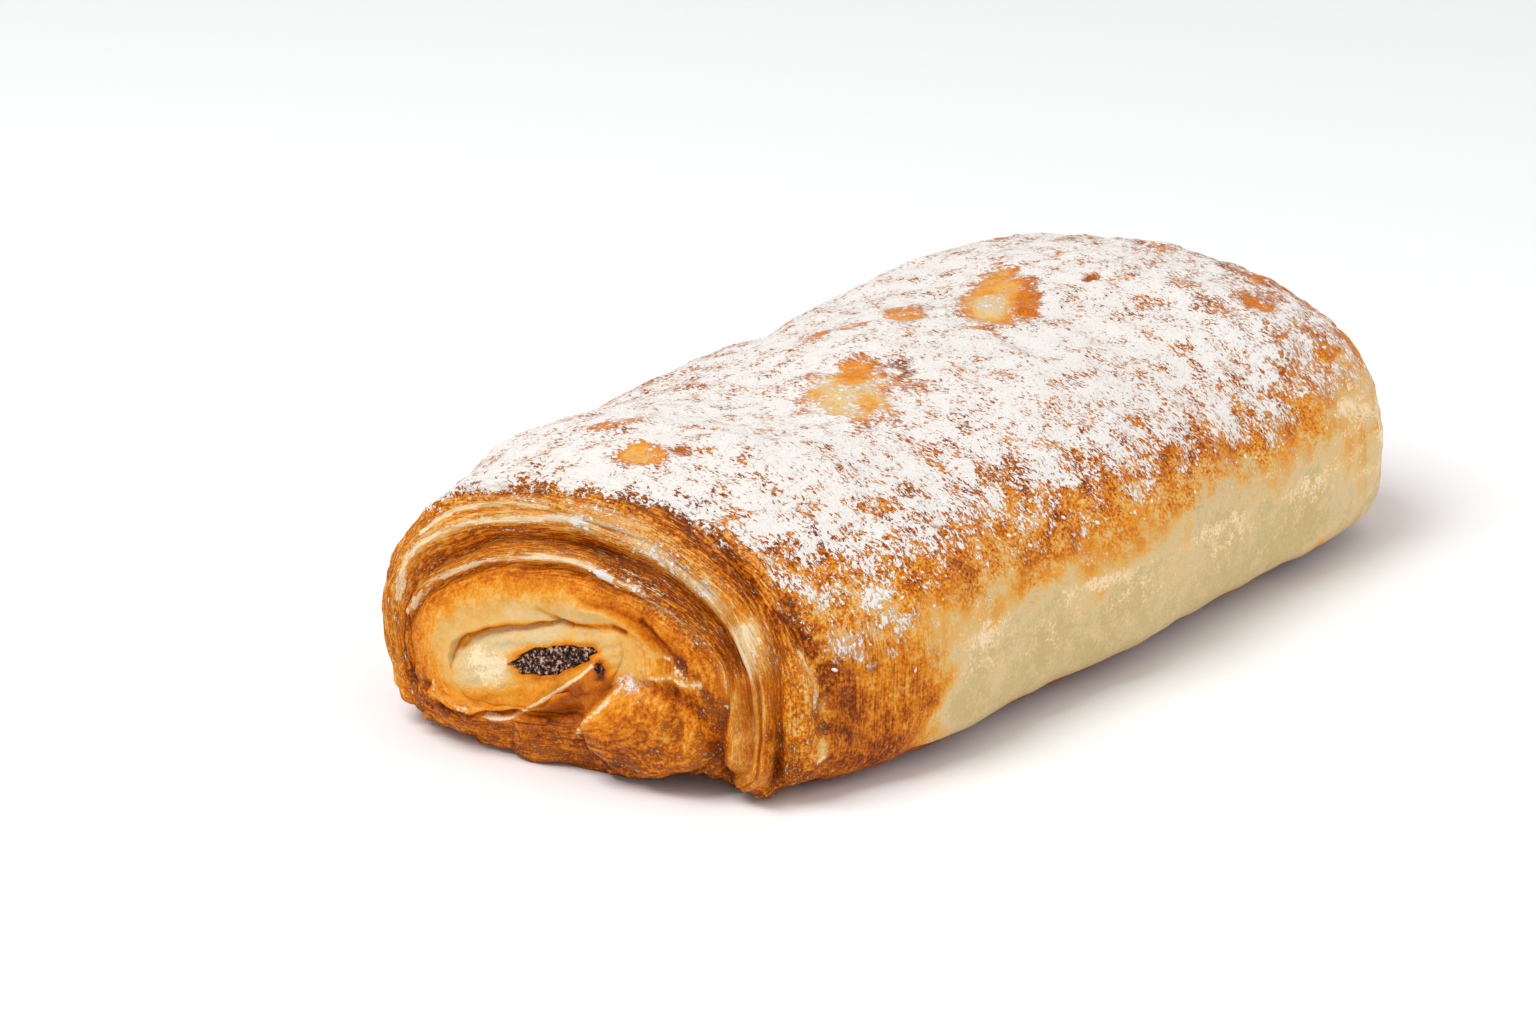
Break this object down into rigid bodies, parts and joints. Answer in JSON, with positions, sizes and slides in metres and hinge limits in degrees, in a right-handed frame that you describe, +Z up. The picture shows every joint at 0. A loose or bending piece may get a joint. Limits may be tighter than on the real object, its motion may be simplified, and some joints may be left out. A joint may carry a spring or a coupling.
{
  "type": "sweet cheese roll",
  "caption": "Long rolled sweet pastry with an open spiral end, a cream cheese core and a dark filling that run through it.",
  "frame": {"origin": "on the underside that rests on the table, below the middle of the roll", "axes": "+X along the roll, from the end with the open spiral at -X to the other end; +Z up; the long side in view in the picture faces -Y"},
  "size_m": [0.1474, 0.0836, 0.037],
  "materials": {
    "crust": "golden brown baked dough with powdered sugar on top, satin to dull",
    "cheese": "soft cream cheese, dull and slightly moist",
    "filling": "grainy dark filling, moist with small glints"
  },
  "bodies": {
    "root": {"pastry": "crust", "cheese_filling": "cheese", "dark_filling": "filling"}
  },
  "joints": []
}
